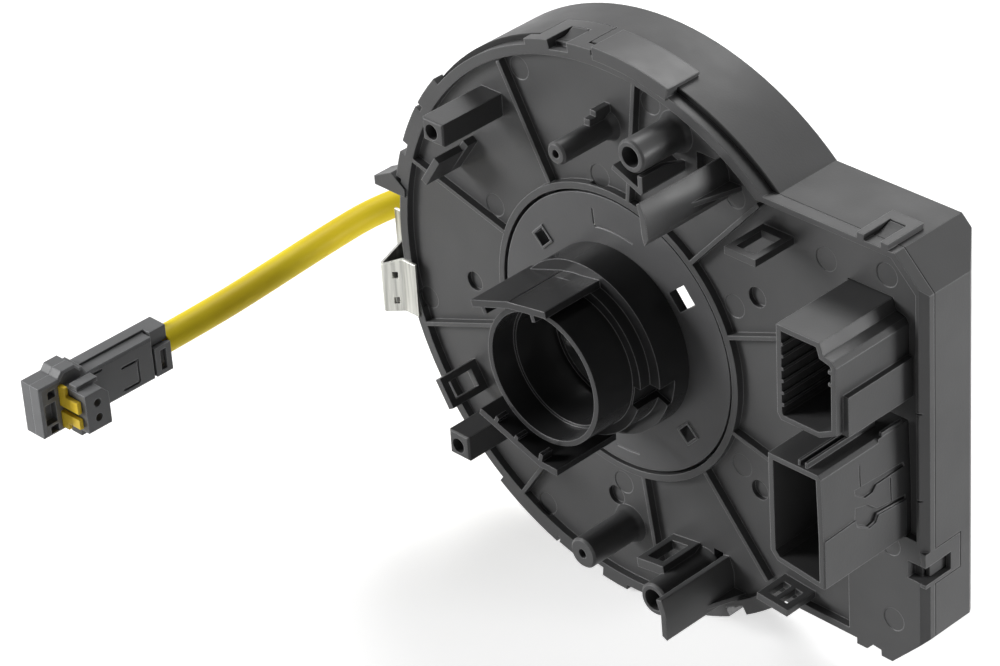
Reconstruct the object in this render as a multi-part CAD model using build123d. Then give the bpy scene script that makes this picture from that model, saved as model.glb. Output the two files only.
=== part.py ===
from build123d import *
import math
import os

os.makedirs("parts", exist_ok=True)

# Frame: the origin lies on the rotor axis, in the front plane of the column plate.
# +Y points to the steering wheel, +Z is up, +X points to the connector box. Millimetres.

# Housing outline
plate_radius = 54.0
shell_step = 1.0
box_right = 69.9
box_half_height = 40.6
box_cut_top = 6.2
box_cut_bottom = 7.4
rim_wall = 1.9
top_wall = 1.1
bottom_wall = 2.6

# Depths along the rotor axis
panel_recess = 1.5
panel_thickness = 1.8
seam_depth = 2.4
spigot_length = 3.1
shell_depth = 17.2
shell_wall = 1.9
rear_wall = 1.8
bevel_width = 4.5
bevel_depth = 5.8

# Clearances and fits
spigot_gap = 0.2
spigot_wall = 1.5
running_gap = 0.4
opening_gap = 0.6
seat_gap = 0.2
sleeve_gap = 0.1

# Opening and ribs of the panel
rotor_disc_radius = 26.7
ring_width = 1.3
rib_width = 0.8
plateau_left = 52.9
plateau_top = -13.4
plateau_corner = 3.0

# Rotor
rotor_face_depth = 0.25
rotor_disc_thickness = 1.8
drum_radius = 31.0
drum_wall = 1.8
drum_front = 4.0
wheel_disc_thickness = 3.6
disc_rim_width = 1.8
drum_flange_width = 7.7
window_places = ((-16.9, 13.1), (16.4, -14.0))
window_side = 2.7
window_rim = 0.9
slot_radius = 20.9
slot_angle = 39.3
slot_size = (4.6, 3.9)
wheel_rib_count = 8
wheel_rib_start = 12.0
wheel_rib_height = 1.2
wheel_rim_width = 1.4
rear_face_width = 16.0
wheel_disc_width = 17.6
wheel_collar_height = 3.0
wheel_collar_wall = 1.6
collar_gap = (186, 232)

# Cam sleeve
bore_radius = 10.7
bore_front = -3.2
step_radius = 11.6
step_front = -12.9
mouth_radius = 12.2
tube_radius = 13.2
tube_length = 18.1
neck_radius = 17.3
neck_height = 7.2
low_neck_height = 4.5
sleeve_spigot_radius = 14.7
sleeve_tail_radius = 12.6
sleeve_tail = 3.6
lug_length = 20.5
lug_thickness = 1.3
lug_root = 1.5
lug_lines = (
    ((-14.0, 10.4), (-4.7, 13.7)), ((-4.9, 13.6), (4.1, 15.1)),
    ((-13.8, -11.6), (0.9, -16.7)), ((0.5, -16.6), (4.6, -16.7)),
)
lug_hooks = (
    ((-11.5, 11.2), (-10.6, 9.6)), ((0.6, 14.5), (1.2, 12.6)),
    ((-10.1, -12.4), (-9.5, -11.2)), ((-5.4, -14.2), (-4.9, -13.2)), ((0.5, -16.2), (0.9, -14.4)),
)
hook_length = 2.4
collar_radius = 15.0
collar_height = 9.6

# Catch loops on the round rim: start and end angle, start and end of the window
rim_loops = (
    (95.0, 107.3, 98.6, 103.5),
    (-106.0, -92.8, -101.6, -96.8),
    (-68.0, -53.0, -63.2, -58.2),
)
loop_wall = 0.8
loop_length = 8.7
loop_window_end = 6.2
loop_lip = 1.9
loop_lip_margin = 2.4
catch_start = 3.0
catch_end = 5.9
# Teeth and lip on the left of the round rim: start and end angle
rim_teeth = ((139.5, 147.7), (149.0, 158.7), (161.5, 167.5), (-125.5, -109.0))
tooth_height = 1.3
tooth_depth = 2.2
# Wedge tab on the left: distance out from the rim, height
wedge_tab = ((5.5, 8.4), (-2.4, 8.4), (-2.4, 10.0), (1.0, 12.4), (5.5, 10.2))
wedge_tab_front = -0.5
wedge_tab_back = 4.0
# Catch frames on the panel: start, end, height, thickness, openings
snap_frames = (
    ((-38.8, -21.9), (-35.7, -27.0), 7.5, 1.4, 1),
    ((34.2, 33.7), (41.0, 33.7), 8.0, 1.4, 1),
    ((10.6, -39.5), (17.0, -38.6), 8.0, 1.9, 1),
    ((37.0, -35.6), (43.9, -36.2), 5.8, 1.4, 2),
)

# Ribs, ejector marks and dimples of the panel
rib_lines = (
    ((-25.4, 45.1), (-14.4, 24.9)),
    ((-50.2, 17.0), (-26.3, 10.3)),
    ((-49.8, -18.0), (-26.6, -9.2)),
    ((-26.5, -45.4), (-20.7, -37.1)),
    ((-20.7, -37.1), (-14.2, -24.5)),
    ((5.0, -27.8), (7.4, -43.4)),
    ((7.4, -43.4), (9.0, -51.4)),
    ((19.8, -20.1), (34.1, -37.2)),
    ((26.8, -9.2), (51.5, -15.2)),
    ((26.4, 9.7), (52.5, 19.8)),
    ((18.7, 21.5), (34.5, 38.6)),
    ((4.4, 27.5), (7.1, 51.8)),
)
ejector_marks = (
    (-21.6, 44.4), (-3.3, 29.7), (-30.0, 14.0), (9.5, 48.4), (28.1, 37.2), (-49.2, -12.7),
    (-1.3, -32.7), (-21.3, -46.1), (47.9, 32.8), (60.8, 34.8), (27.2, 15.6), (27.7, -16.4),
)
plateau_marks = ((62.9, -31.6), (62.2, -16.4))
# Front edges of the box: stepped bottom edge, its notch, seams and the bevel on the right
edge_end = 54.6
edge_inset = 1.2
edge_notch = ((56.6, -42.0), (56.6, -40.9), (58.2, -39.2), (60.0, -39.4), (60.2, -42.0))
seam_grooves = (12.0, -5.1)
edge_bevel = 1.3
ejector_radius = 2.2
ejector_depth = 0.12
dimples = ((-36.7, -4.4), (-3.3, -36.3), (32.4, 19.4), (31.7, -19.8))
dimple_radius = 1.9
dimple_depth = 0.9
edge_groove = 0.3
edge_groove_depth = 0.4
edge_groove_reach = 3.4

# Fin, bracket and post rib on the panel
fin_thickness = 1.4
fin_height = 7.0
fin_line = ((-38.9, 19.2), (-35.1, 24.9))
fin_foot_line = ((-38.9, 19.2), (-33.9, 26.2))
fin_foot_height = 1.0
bracket_line = ((10.3, 41.1), (16.9, 38.4))
bracket_thickness = 1.0
bracket_height = 9.0
bracket_left = 16.1
post_rib = (-1.3, 0.0)
post_rib_start = 41.5
post_rib_steps = ((43.9, 3.5), (44.9, 2.0))

# Edge catches between plate and shell
top_catch = (55.8, 62.3)
side_catch = (-22.2, -15.3)
catch_length = 8.9
catch_wall = 1.1
catch_window = 1.5
catch_tip = 2.4
side_window_bottom = 0.7
side_window_top = 2.7
side_window_reach = 3.9
strip_angles = (74, 92)
strip_height = 0.9
strip_front = -0.3
strip_back = 7.5

# Posts on the panel: x, z, width, depth, height, bore x, bore z
square_posts = (
    (-28.9, 35.5, 5.0, 4.4, 13.0, -29.2, 35.4),
    (-29.35, -29.9, 4.9, 5.0, 12.0, -29.6, -30.1),
)
# Round posts: x, z, radius, height, bore radius
round_posts = (
    (15.1, 44.9, 3.05, 9.5, 1.9),
    (-0.1, -41.0, 3.0, 11.0, 0.9),
    (18.2, -42.0, 3.2, 12.0, 2.1),
    (-0.6, 40.6, 2.1, 11.3, 0.8),
)
post_bore_radius = 1.45
post_bore_depth = 10.0
post_flare = 0.8

# Blades that guide the column cover
upper_blade = (
    (25.6, 44.0), (26.8, 41.8), (27.3, 37.8), (26.4, 36.3), (25.9, 37.8), (25.5, 41.8), (24.9, 43.6),
)
lower_blade = (
    (23.9, -37.3), (24.9, -40.2), (24.9, -45.4), (23.8, -44.8), (23.7, -40.4), (22.7, -37.6),
)
upper_blade_height = 18.5
lower_blade_height = 16.0
gusset_width = 3.2
gusset_thickness = 0.9
# Openings in the panel beside the blades: left, bottom, right, top
panel_windows = ((19.7, 37.6, 24.4, 42.8), (20.3, -39.4, 22.5, -37.2))

# Connector sockets on the column side
upper_socket_length = 16.2
lower_socket_length = 20.0
socket_wall = 1.0
socket_floor = 2.0
flange_width = 0.9
flange_thickness = 2.0
pin_size = 0.64
pin_reach = 6.0
pin_pitch = 2.2
coding_rib = 0.5
coding_rib_width = 0.6
socket_side_gap = 4.6
# Corners of the sockets: distance from their right side, height
upper_corners = (
    (12.6, 30.9), (3.4, 30.9), (2.7, 28.8), (0.8, 28.3), (0.1, 27.3),
    (0.2, 14.6), (3.8, 12.8), (12.0, 12.8), (12.8, 13.9),
)
lower_corners = (
    (11.6, 8.6), (0.4, 8.6), (0.0, -3.9), (0.0, -13.4), (0.8, -13.4),
    (10.1, -12.2), (11.6, -10.6),
)
upper_pin_inset = 8.9
upper_pin_bottom = 16.1
lower_pin_inset = 8.3
lower_pin_bottom = -9.2
pin_columns = 2
pin_column_pitch = 4.8
upper_left_ribs = (27.4, 25.1, 22.7, 20.4, 18.1, 15.8)
upper_right_ribs = (26.2, 23.9)
ledge = (0.6, 14.0, 1.0, 21.5)
ledge_length = 14.5
rail_insets = (5.3, 3.8)
rail_width = 0.5
rail_height = 1.0
rail_margin = 0.5
rail_end = -3.0
# Side of the lower socket, seen along X: two latch grooves and the raised step below them
latch_grooves = (
    ((-12.0, 1.9), (0.0, 1.3), (0.3, 0.4), (-6.7, 0.3), (-7.7, -0.7), (-9.5, -0.8), (-11.9, 0.9)),
    ((-12.2, -3.6), (-11.8, -4.9), (-9.1, -6.7), (-7.5, -6.4), (-6.8, -5.2), (0.3, -5.9), (0.3, -5.3),
     (-6.8, -4.2), (-9.0, -2.4), (-12.0, -1.6)),
)
latch_step = (
    (-19.9, -13.2), (-19.9, -3.9), (-12.3, -3.65), (-12.0, -5.1), (-9.1, -6.9), (-7.4, -6.7),
    (-6.7, -5.5), (0.3, -6.1), (0.3, -13.2),
)
latch_depth = 0.55
step_rise = 0.3
# Fine lines on that side: front, back, low and high limit
side_lines = ((-10.75, -10.45, 1.8, 6.1), (-3.35, -3.05, -5.0, -0.1))
side_line_depth = 0.4
corner_bevel = (1.0, 2.4)
corner_bevel_end = -5.8
corner_rib = (1.1, 0.5, 0.7)
corner_rib_front = -4.8

# Ribbon cable and its slip sheets
ribbon_thickness = 0.35
ribbon_gap = 0.55
ribbon_drum_gap = 1.6
ribbon_edge_gap = 1.9
ribbon_half_turns = 10
slip_sheet = 0.3
slip_sheet_margin = 0.6
race_gap = 1.7
race_wall = 1.5
race_angle = 44.0
race_slot = 2.0

# Carrier and busbars in the box
carrier_thickness = 1.8
busbar_thickness = 0.5
busbar_width = 1.6
busbar_count = 6
busbar_bottom = 5.2
busbar_pitch = 4.2
busbar_start = 4.4
busbar_end = 0.2
carrier_gap = 0.6
carrier_bottom = -14.7
carrier_top = 32.4
carrier_tongue = 3.0
carrier_tongue_end = 13.0

# Retaining clip of sheet steel
clip_sheet = 0.45
clip_bend = 0.6
clip_bottom = -16.6
clip_back_top = -2.4
clip_front_top = -6.9
clip_stand_off = 3.0
clip_reach = 7.4
clip_back = 8.0
clip_front = -3.6
clip_nose_inset = 0.1
clip_tab_inset = 3.5
clip_seat_front = 3.4
clip_seat_depth = 6.0
clip_seat_bottom = -14.0
clip_seat_top = -8.0
clip_slot_place = 0.6
clip_slot_width = 0.8
clip_slots = ((-9.6, -8.2), (-15.0, -13.6))

# Socket on the wheel side
wheel_socket_inset = 8.609
wheel_socket_width = 14.0
wheel_socket_height = 9.0
wheel_socket_length = 11.0
wheel_socket_angle = 32.0
wheel_pin_rows = 2
wheel_pin_columns = 4
drive_boss_radius = 3.0
drive_boss_length = 7.5
drive_boss_inset = 8.6
drive_boss_chamfer = 0.7
drive_boss_angle = 124.5

# Lead and its small connector
lead_diameter = 5.4
relief_radius = 4.6
relief_length = 7.0
relief_rib = 0.7
lead_points = (
    (-24.2, 24.0, -12.0),
    (-30.9, 35.6, -12.2),
    (-41.9, 43.4, -12.6),
    (-55.1, 45.7, -13.1),
    (-68.1, 42.3, -13.8),
    (-78.3, 33.6, -14.6),
    (-83.9, 21.4, -15.6),
    (-84.3, 5.5, -16.8),
    (-83.7, -10.3, -17.6),
    (-83.1, -23.0, -17.9),
    (-83.3, -35.0, -18.2),
)
# Small connector, measured from the end of the lead
base_width = 2.9
cover_width = 2.8
connector_length = 30.6
connector_foot = -5.1
arm_top = 4.4
arm_step = 0.5
head_top = 5.5
head_start = -19.5
cover_start = -4.2
connector_gap = 0.1
bump_start = -21.0
bump_end = -26.0
bump_height = 1.2
nose_length = 6.1
nose_width = 5.4
nose_centre = -22.6
nose_top = 4.0
nose_bottom = -3.9
lock_plate = 0.8
lock_gap = 0.15
lock_side_gap = 0.2
lock_travel = 1.5
lock_button = 1.2
squib_pitch = 3.1
squib_pin_radius = 0.5


# Helpers
def between(sketch, front, back):
    """A sketch in X and Z carried from y = front to y = back."""
    return extrude(Plane.XZ.offset(-back) * sketch, amount=back - front, dir=(0, -1, 0))


def rectangle(left, bottom, right, top):
    """An upright rectangle from its four limits."""
    return Pos((left + right) / 2, (bottom + top) / 2) * Rectangle(right - left, top - bottom)


def polar(radius, angle):
    """The point at a radius and an angle in degrees from +X toward +Z."""
    return (radius * math.cos(math.radians(angle)), radius * math.sin(math.radians(angle)))


def strip(start, end, width):
    """A thin rectangle that runs from start to end."""
    angle = math.degrees(math.atan2(end[1] - start[1], end[0] - start[0]))
    middle = Pos((start[0] + end[0]) / 2, (start[1] + end[1]) / 2)
    return middle * Rot(0, 0, angle) * Rectangle(math.dist(start, end), width)


def ring_sector(inner, outer, start, end):
    """The part of a ring between two angles."""
    near = CenterArc((0, 0), inner, start, end - start)
    far = CenterArc((0, 0), outer, start, end - start)
    return make_face([near, far, Line(near @ 0, far @ 0), Line(near @ 1, far @ 1)])


def ring(inner, outer):
    """A flat ring."""
    return Circle(outer) - Circle(inner)


def save(name, shape, color):
    """Write one node, with its colour, to the parts folder."""
    shape.label = name
    shape.color = Color(*color)
    export_step(shape, "parts/" + name + ".step")


# Values that follow from the sizes above
panel_back = panel_recess + panel_thickness
opening_radius = rotor_disc_radius + opening_gap
spigot_back = seam_depth + spigot_length
spigot_inset = shell_wall + spigot_gap
rear_wall_front = shell_depth - rear_wall
shell_radius = plate_radius + shell_step
wheel_disc_front = rear_wall_front
wheel_disc_back = wheel_disc_front + wheel_disc_thickness
rear_opening_radius = plate_radius - rear_face_width
wheel_disc_radius = rear_opening_radius - running_gap
wheel_opening_radius = wheel_disc_radius - wheel_disc_width
rotor_disc_back = rotor_face_depth + rotor_disc_thickness
flange_back = panel_back + flange_thickness
slip_outer = plate_radius - spigot_inset - spigot_wall - slip_sheet_margin
race_radius = slip_outer + race_gap
carrier_left = race_radius + race_wall + carrier_gap
carrier_back = flange_back + carrier_thickness
ribbon_front = panel_back + slip_sheet + ribbon_gap
ribbon_width = rear_wall_front - slip_sheet - ribbon_gap - ribbon_front
ribbon_inner = drum_radius + ribbon_drum_gap
ribbon_pitch = 2 * (slip_outer - ribbon_edge_gap - ribbon_inner) / (ribbon_half_turns - 1)
clip_side = -plate_radius - clip_stand_off
clip_left = clip_side - clip_reach
clip_nose = clip_nose_inset - plate_radius
clip_tab = clip_tab_inset - plate_radius

socket_right = box_right - socket_side_gap
upper_outline = [(socket_right - inset, z) for inset, z in upper_corners]
lower_outline = [(socket_right - inset, z) for inset, z in lower_corners]


# Column plate
def housing_outline(inset=0.0, step=0.0):
    """The round side and the box side in one outline, drawn in by inset."""
    right = box_right - inset
    half = box_half_height - inset
    corner = inset * (2 - math.sqrt(2))
    top_cut = box_cut_top - corner
    bottom_cut = box_cut_bottom - corner
    box = Polygon(
        (0, -half), (right - bottom_cut, -half), (right, bottom_cut - half),
        (right, half - top_cut), (right - top_cut, half), (0, half),
    )
    return Circle(plate_radius + step - inset) + box


def recess_outline():
    """The sunk field of the panel, without the raised plateau at its lower right."""
    right = box_right - rim_wall
    top = box_half_height - top_wall
    bottom = bottom_wall - box_half_height
    corner = rim_wall * (2 - math.sqrt(2))
    field = Polygon(
        (0, bottom), (right, bottom), (right, top - box_cut_top + corner),
        (right - box_cut_top + corner, top), (0, top),
    )
    plateau = Polygon(
        (plateau_left, -box_half_height), (box_right, -box_half_height), (box_right, plateau_top),
        (plateau_left + plateau_corner, plateau_top), (plateau_left, plateau_top - plateau_corner),
    )
    return Circle(plate_radius - rim_wall) + field - plateau


def square_post(x, z, width, depth, height, bore_x, bore_z):
    """A square post with a blind screw hole in its end."""
    section = rectangle(x - width / 2, z - depth / 2, x + width / 2, z + depth / 2)
    post = between(section, -height, panel_recess)
    post = chamfer(post.faces().sort_by(Axis.Y)[0].edges(), 0.3)
    return post - between(Pos(bore_x, bore_z) * Circle(post_bore_radius), -height, post_bore_depth - height)


def round_post(x, z, radius, height, bore):
    """A round post with a blind hole and a flared foot."""
    post = between(Pos(x, z) * Circle(radius), -height, panel_recess)
    post = chamfer(post.faces().sort_by(Axis.Y)[0].edges(), 0.4)
    foot = Pos(x, panel_recess, z) * Rot(90, 0, 0) * Cone(
        radius + post_flare, radius, 2 * post_flare, align=(Align.CENTER, Align.CENTER, Align.MIN))
    return post + foot - between(Pos(x, z) * Circle(bore), -height, post_bore_depth - height)


def snap_frame(start, end, height, thickness, openings):
    """An upright catch frame on the panel, with windows for the cover's tongues."""
    side, sill, head, bar = 1.3, 1.8, 1.4, 1.0
    length = math.dist(start, end)
    run = (end[0] - start[0], 0, end[1] - start[1])
    across = (run[2], 0, -run[0])
    plane = Plane(origin=(start[0], panel_recess, start[1]), x_dir=run, z_dir=across)
    total = height + panel_recess
    frame = rectangle(0, 0, length, total) - rectangle(side, sill, length - side, total - head)
    if openings == 2:
        frame += rectangle((length - bar) / 2, 0, (length + bar) / 2, total)
    return extrude(plane * frame, amount=thickness / 2, both=True)


def cover_blade(section, height, gusset_x, gusset_z, gusset_height):
    """A tall guide blade with a gusset on its outer side."""
    blade = between(Polygon(*section), -height, panel_recess)
    gusset = Polygon(
        (gusset_x, -gusset_height), (gusset_x + gusset_width, panel_recess), (gusset_x, panel_recess),
    )
    web = extrude(Plane.XY * gusset, amount=gusset_thickness / 2, both=True)
    return blade + Pos(0, 0, gusset_z) * web


def rim_loop(start, end, window_start, window_end):
    """A catch loop that lies flush in the shell and is open at the front."""
    outer = shell_radius
    lip = ring_sector(plate_radius - loop_wall, outer, start - loop_lip_margin, end + loop_lip_margin)
    band = ring_sector(outer - loop_wall, outer, start, end)
    window = ring_sector(outer - loop_wall - shell_step, outer + 1, window_start, window_end)
    loop = between(lip, 0, loop_lip) + between(band, 0, loop_length)
    return loop - between(window, -1, loop_window_end)


def loop_pocket(start, end):
    """The pocket in the shell that a rim loop lies in."""
    turn = math.degrees(seat_gap / shell_radius)
    floor = shell_radius - loop_wall - seat_gap
    pocket = ring_sector(floor, shell_radius + 1, start - turn, end + turn)
    return between(pocket, 0, loop_length + seat_gap)


def loop_catch(start, end):
    """The ramp on the shell that a rim loop snaps over."""
    turn = math.degrees(2 * seat_gap / shell_radius)
    foot = shell_radius - loop_wall - 2 * seat_gap
    ramp = Polygon((foot, catch_start), (shell_radius, catch_end), (foot, catch_end))
    face = Rot(0, turn - end, 0) * make_face(Plane.XY * ramp.wire())
    return revolve(face, axis=Axis.Y, revolution_arc=end - start - 2 * turn)


def panel_fin():
    """The slanted fin on the left of the panel, with its longer foot."""
    fin = between(strip(*fin_line, fin_thickness), -fin_height, panel_recess)
    return fin + between(strip(*fin_foot_line, fin_thickness), -fin_foot_height, panel_recess)


def panel_bracket():
    """The wall below the upper right post, with the brace at its end."""
    end = bracket_line[1][1]
    wall = between(strip(*bracket_line, bracket_thickness), -bracket_height, panel_recess)
    brace = Polygon(
        (-bracket_height, end), (-bracket_height, end + 3.1), (-3.5, end + 3.1),
        (panel_recess, end + 1.6), (panel_recess, end),
    )
    return wall + along_x(brace, bracket_left, bracket_left + bracket_thickness)


def post_ribs():
    """The stepped rib that stiffens the thin post at the top."""
    left, right = post_rib
    ribs = [between(rectangle(left, post_rib_start, right, top), -height, panel_recess)
            for top, height in post_rib_steps]
    return ribs[0] + ribs[1]


def column_plate():
    """The moulded plate that faces the steering column."""
    plate = between(housing_outline(), 0, seam_depth) + between(
        housing_outline(inset=spigot_inset), seam_depth, spigot_back)
    plate -= between(housing_outline(inset=spigot_inset + spigot_wall), panel_back, spigot_back)
    plate -= between(recess_outline(), 0, panel_recess)
    plate += between(Circle(opening_radius + ring_width), 0, panel_recess)
    plate -= between(Circle(opening_radius), 0, panel_back)
    for limits in panel_windows:
        plate -= between(rectangle(*limits), 0, spigot_back)
    edge = rectangle(0, -box_half_height - 1, edge_end, edge_inset - box_half_height)
    plate -= between(edge - Circle(plate_radius), 0, seam_depth)
    plate -= between(Polygon(*edge_notch), 0, seam_depth)
    for z in seam_grooves:
        seam = rectangle(box_right - edge_groove_reach, z - edge_groove / 2, box_right, z + edge_groove / 2)
        plate -= between(seam, 0, edge_groove_depth)
    bevelled = Polygon((box_right - edge_bevel, 0), (box_right, 0), (box_right, edge_bevel))
    plate -= extrude(Plane.XY * bevelled, amount=box_half_height, both=True)
    for start, end in rim_teeth:
        tooth = ring_sector(plate_radius - 1, plate_radius + tooth_height, start, end)
        plate += between(tooth, 0, tooth_depth)
    tab = Polygon(*[(-plate_radius - out, z) for out, z in wedge_tab])
    plate += between(tab, wedge_tab_front, seam_depth - seat_gap)
    plate += between(tab - Circle(shell_radius + seat_gap), 0, wedge_tab_back)
    for x, z in plateau_marks:
        plate -= between(Pos(x, z) * Circle(ejector_radius), 0, ejector_depth)
    for start, end in rib_lines:
        plate += between(strip(start, end, rib_width), 0, panel_recess)
    for x, z in ejector_marks:
        mark = Pos(x, z) * Circle(ejector_radius)
        plate -= between(mark, panel_recess - 1, panel_recess + ejector_depth)
    for x, z in dimples:
        plate -= between(Pos(x, z) * Circle(dimple_radius), panel_recess - 1, panel_recess + dimple_depth)
    for post in square_posts:
        plate += square_post(*post)
    for post in round_posts:
        plate += round_post(*post)
    plate += cover_blade(upper_blade, upper_blade_height, 26.6, 39.4, 9.5)
    plate += cover_blade(lower_blade, lower_blade_height, 24.4, -44.0, 7.0)
    return plate + panel_fin() + panel_bracket() + post_ribs()


def socket_window(outline):
    """The hole in the panel for a connector body."""
    return offset(Polygon(*outline), amount=seat_gap, kind=Kind.INTERSECTION)


def top_edge_loop():
    """The loop that reaches back over the top wall of the box."""
    left, right = top_catch
    top = box_half_height + catch_wall
    loop = between(rectangle(left, box_half_height - 1, right, top), 0, loop_lip)
    loop += between(rectangle(left, box_half_height, right, top), 0, catch_length)
    window = rectangle(left + catch_window, box_half_height, right - catch_window, top + 1)
    return loop - between(window, -1, catch_length - catch_tip)


def top_edge_catch():
    """The ramp on the shell that the top loop snaps over."""
    left, right = top_catch
    back = catch_length - catch_tip - seat_gap
    foot = box_half_height - seat_gap
    ramp = Polygon((catch_start, foot), (back, foot), (back, box_half_height + catch_wall - seat_gap))
    return along_x(ramp, left + catch_window + seat_gap, right - catch_window - seat_gap)


def side_edge_loop(grow=0.0):
    """The loop let into the right wall of the box."""
    bottom, top = side_catch
    inner = box_right - catch_wall - grow
    section = rectangle(inner, bottom - grow, box_right + grow, top + grow)
    return between(section, 0, catch_length + grow)


def side_edge_window():
    """The slot of the loop in the right wall."""
    bottom, top = side_catch
    low = bottom + side_window_bottom
    high = top - side_window_top
    slot = rectangle(box_right - 2 * catch_wall, low, box_right + 1, high)
    front = rectangle(box_right - side_window_reach, low, box_right + 1, high)
    return between(slot, 0, catch_length - catch_tip) + between(front, -1, loop_lip)


def cover_strip():
    """The raised strip over the top of the round rim."""
    outer = shell_radius + strip_height
    lip = ring_sector(plate_radius - 0.6, outer, *strip_angles)
    band = ring_sector(shell_radius + seat_gap / 2, outer, *strip_angles)
    return between(lip, strip_front, seam_depth - seat_gap) + between(band, 0, strip_back)


# Outer shell
def bevel(inset):
    """The wedge that the slanted rear corner of the box takes away."""
    right = box_right - inset
    back = shell_depth - inset
    reach = 30
    slope = bevel_width / bevel_depth
    wedge = Polygon(
        (right - bevel_width, back), (right + reach * slope - bevel_width, back - reach),
        (right + reach, back - reach), (right + reach, back + reach),
        (right - bevel_width - reach * slope, back + reach),
    )
    return extrude(Plane.XY * wedge, amount=2 * box_half_height, both=True)


def shell_outline(inset=0.0):
    """The outline of the shell, which stands proud of the plate on the round side."""
    return housing_outline(inset=inset, step=shell_step)


def outer_shell():
    """The shell around the ribbon cable and the box of the connectors."""
    shell = between(shell_outline(), seam_depth, shell_depth) - bevel(0)
    shell = chamfer(shell.faces().filter_by(Axis.Y).sort_by(Axis.Y)[-1].edges(), 0.5)
    cavity = between(shell_outline(shell_wall), seam_depth, rear_wall_front) - bevel(shell_wall)
    shell -= cavity
    shell -= between(Circle(rear_opening_radius), seam_depth, shell_depth)
    race = ring_sector(race_radius, race_radius + race_wall, -race_angle, race_angle)
    race -= rectangle(race_radius - 2, -race_slot, race_radius + 4, race_slot)
    shell += between(race, spigot_back + seat_gap, rear_wall_front)
    seat = rectangle(clip_side, clip_seat_bottom, 2 - plate_radius, clip_seat_top) - Circle(shell_radius - 0.5)
    shell += between(seat, clip_seat_front, clip_seat_front + clip_seat_depth)
    shell -= side_edge_loop(grow=seat_gap)
    for start, end, window_start, window_end in rim_loops:
        shell -= loop_pocket(start, end)
        shell += loop_catch(window_start, window_end)
    return shell + top_edge_catch()


# Connector sockets on the column side
def socket_body(outline, length):
    """A connector body with its cavity, and the flange that seats behind the panel."""
    outside = Polygon(*outline)
    inside = offset(outside, amount=-socket_wall, kind=Kind.INTERSECTION)
    foot = offset(outside, amount=flange_width, kind=Kind.INTERSECTION)
    body = between(outside, -length, flange_back) + between(foot, panel_back, flange_back)
    return body - between(inside, -length, socket_floor)


def pin_places(inset, bottom, rows):
    """The centres of the pins of one connector."""
    left = socket_right - inset
    return [
        (left + pin_column_pitch * i, bottom + pin_pitch * j)
        for i in range(pin_columns) for j in range(rows)
    ]


def pin_group(places):
    """The pins of one connector, each a bar of its own."""
    pins = []
    for x, z in places:
        bar = between(Pos(x, z) * Rectangle(pin_size, pin_size), -pin_reach, flange_back)
        pins.append(chamfer(bar.faces().sort_by(Axis.Y)[0].edges(), 0.2))
    return Compound(pins)


def pin_holes(places):
    """The square holes in a connector's floor that its pins fill."""
    holes = Sketch() + [Pos(x, z) * Rectangle(pin_size, pin_size) for x, z in places]
    return between(holes, socket_floor - 1, flange_back)


def upper_connector():
    """The upper connector body, with its coding ribs and side ledge."""
    body = socket_body(upper_outline, upper_socket_length)
    left = upper_outline[-1][0] + socket_wall
    half = coding_rib_width / 2
    for z in upper_left_ribs:
        rib = rectangle(left - 0.1, z - half, left + coding_rib, z + half)
        body += between(rib, -upper_socket_length, socket_floor)
    right = upper_outline[5][0] - socket_wall
    for z in upper_right_ribs:
        rib = rectangle(right - coding_rib, z - half, right + 0.2, z + half)
        body += between(rib, -upper_socket_length, socket_floor)
    inset, low, rise, high = ledge
    side = rectangle(socket_right - inset, low, socket_right + rise, high)
    body += between(side, -ledge_length, panel_recess)
    return body - pin_holes(upper_pins)


def lower_connector():
    """The lower connector body, with its top rails and latch grooves."""
    body = socket_body(lower_outline, lower_socket_length)
    top = lower_outline[0][1]
    right = socket_right
    for inset in rail_insets:
        middle = right - inset
        rail = rectangle(middle - rail_width / 2, top - 0.2, middle + rail_width / 2, top + rail_height)
        body += between(rail, rail_margin - lower_socket_length, rail_end)
    for groove in latch_grooves:
        body -= along_x(Polygon(*groove), right - latch_depth, right + 1)
    for front, back, low, high in side_lines:
        body -= along_x(rectangle(front, low, back, high), right - side_line_depth, right + 1)
    body += along_x(Polygon(*latch_step), right - 0.2, right + step_rise)
    width, drop = corner_bevel
    corner = Polygon((right - width, top), (right + 1, top - drop), (right + 1, top + 1))
    body -= between(corner, -lower_socket_length, corner_bevel_end)
    left_side, right_side, rise = corner_rib
    rib = rectangle(right - left_side, top - 0.3, right - right_side, top + rise)
    body += between(rib, corner_rib_front, step_rise)
    return body - pin_holes(lower_pins)


# Carrier and busbars in the box
def terminal_carrier():
    """The moulding behind the connectors that holds the busbars."""
    right = box_right - spigot_inset - spigot_wall - seat_gap
    carrier = between(rectangle(carrier_left, carrier_bottom, right, carrier_top), flange_back, carrier_back)
    tongue = rectangle(carrier_left, -race_slot, carrier_left + carrier_tongue, race_slot)
    return carrier + between(tongue, carrier_back, carrier_tongue_end)


def busbars():
    """The stamped strips between the pins and the ribbon cable."""
    bars = []
    for i in range(busbar_count):
        z = busbar_bottom + busbar_pitch * i
        bar = rectangle(carrier_left + busbar_start, z, socket_right + busbar_end, z + busbar_width)
        bars.append(between(bar, carrier_back, carrier_back + busbar_thickness))
    return Compound(bars)


# Ribbon cable and slip sheets
def ribbon_cable():
    """The flat cable wound as half circles about two centres."""
    band = Sketch()
    for i in range(ribbon_half_turns):
        radius = ribbon_inner + i * ribbon_pitch / 2
        centre = 0.0 if i % 2 == 0 else -ribbon_pitch / 2
        start = 0 if i % 2 == 0 else 180
        half = ring_sector(radius - ribbon_thickness / 2, radius + ribbon_thickness / 2, start, start + 180)
        band += Pos(centre, 0) * half
    return between(band, ribbon_front, ribbon_front + ribbon_width)


def slip_ring(front):
    """A thin ring that the edges of the ribbon cable slide on."""
    inner = rear_opening_radius + slip_sheet_margin
    return between(ring(inner, slip_outer), front, front + slip_sheet)


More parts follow.
